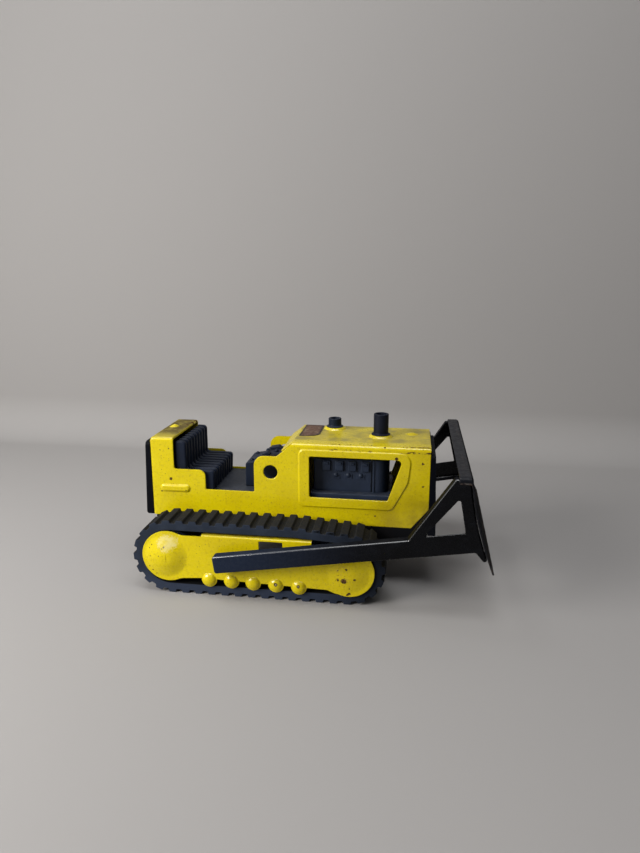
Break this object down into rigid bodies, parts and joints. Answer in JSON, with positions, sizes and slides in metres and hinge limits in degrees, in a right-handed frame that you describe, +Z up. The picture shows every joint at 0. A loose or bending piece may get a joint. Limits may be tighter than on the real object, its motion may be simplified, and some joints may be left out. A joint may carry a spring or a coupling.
{
  "type": "toy bulldozer",
  "caption": "Pressed-steel toy bulldozer on rubber tracks, with an open cockpit, a long hood with engine windows, and a curved blade on hinged push arms.",
  "frame": {"origin": "centre of the bounding box's bottom, on the plane the track lugs stand on", "axes": "+X forward towards the blade, +Y to the toy's left, +Z up"},
  "size_m": [0.138, 0.0852, 0.068],
  "materials": {
    "yellow_paint": "gloss enamel, chipped and dusty",
    "black_paint": "gloss enamel, worn at the edges",
    "black_plastic": "satin moulded plastic",
    "track_rubber": "matte, dusty",
    "bare_steel": "dull zinc plate",
    "label_film": "faded printed film"
  },
  "bodies": {
    "chassis": {"body_shell": "yellow_paint", "hood_label": "label_film", "chassis_channel": "black_paint", "rear_panel": "black_plastic", "radiator_grille": "black_plastic", "cockpit_floor": "black_plastic", "seat": "black_plastic", "dash_console": "black_plastic", "engine_block": "black_plastic", "exhaust_stack": "black_plastic", "air_cleaner": "black_plastic", "track_frame_right": "yellow_paint", "track_frame_left": "yellow_paint", "track_right": "track_rubber", "track_left": "track_rubber", "rear_axle": "bare_steel", "front_axle": "bare_steel", "axle_nut_rear_right": "bare_steel", "axle_nut_rear_left": "bare_steel", "axle_nut_front_right": "bare_steel", "axle_nut_front_left": "bare_steel", "frame_rivet_right_rear": "bare_steel", "frame_rivet_right_front": "bare_steel", "frame_rivet_left_rear": "bare_steel", "frame_rivet_left_front": "bare_steel", "body_rivet_right_rear": "bare_steel", "body_rivet_right_front": "bare_steel", "body_rivet_left_rear": "bare_steel", "body_rivet_left_front": "bare_steel"},
    "blade": {"blade_moldboard": "black_paint", "push_arm_right": "black_paint", "push_arm_left": "black_paint", "arm_pivot_stud_right": "bare_steel", "arm_pivot_stud_left": "bare_steel", "arm_push_nut_right": "bare_steel", "arm_push_nut_left": "bare_steel"},
    "wheel_rear_right": {"rear_wheel_right": "black_plastic"},
    "wheel_front_right": {"front_wheel_right": "black_plastic"},
    "wheel_rear_left": {"rear_wheel_left": "black_plastic"},
    "wheel_front_left": {"front_wheel_left": "black_plastic"}
  },
  "joints": [
    {"name": "blade_lift", "type": "hinge", "parent": "chassis", "child": "blade", "pos_m": [-0.02946, 0, 0.01652], "axis": [0, -1, 0], "range_deg": [-12, 32]},
    {"name": "rear_right_spin", "type": "hinge", "parent": "chassis", "child": "wheel_rear_right", "pos_m": [-0.0532, -0.0255, 0.01518], "axis": [0, 1, 0], "continuous": true},
    {"name": "front_right_spin", "type": "hinge", "parent": "chassis", "child": "wheel_front_right", "pos_m": [0.01646, -0.0255, 0.01439], "axis": [0, 1, 0], "continuous": true},
    {"name": "rear_left_spin", "type": "hinge", "parent": "chassis", "child": "wheel_rear_left", "pos_m": [-0.0532, 0.0255, 0.01518], "axis": [0, 1, 0], "continuous": true},
    {"name": "front_left_spin", "type": "hinge", "parent": "chassis", "child": "wheel_front_left", "pos_m": [0.01646, 0.0255, 0.01439], "axis": [0, 1, 0], "continuous": true}
  ],
  "couplings": [
    {"joint": "front_right_spin", "follows": "rear_right_spin", "ratio": 1.0761},
    {"joint": "front_left_spin", "follows": "rear_left_spin", "ratio": 1.0761}
  ]
}
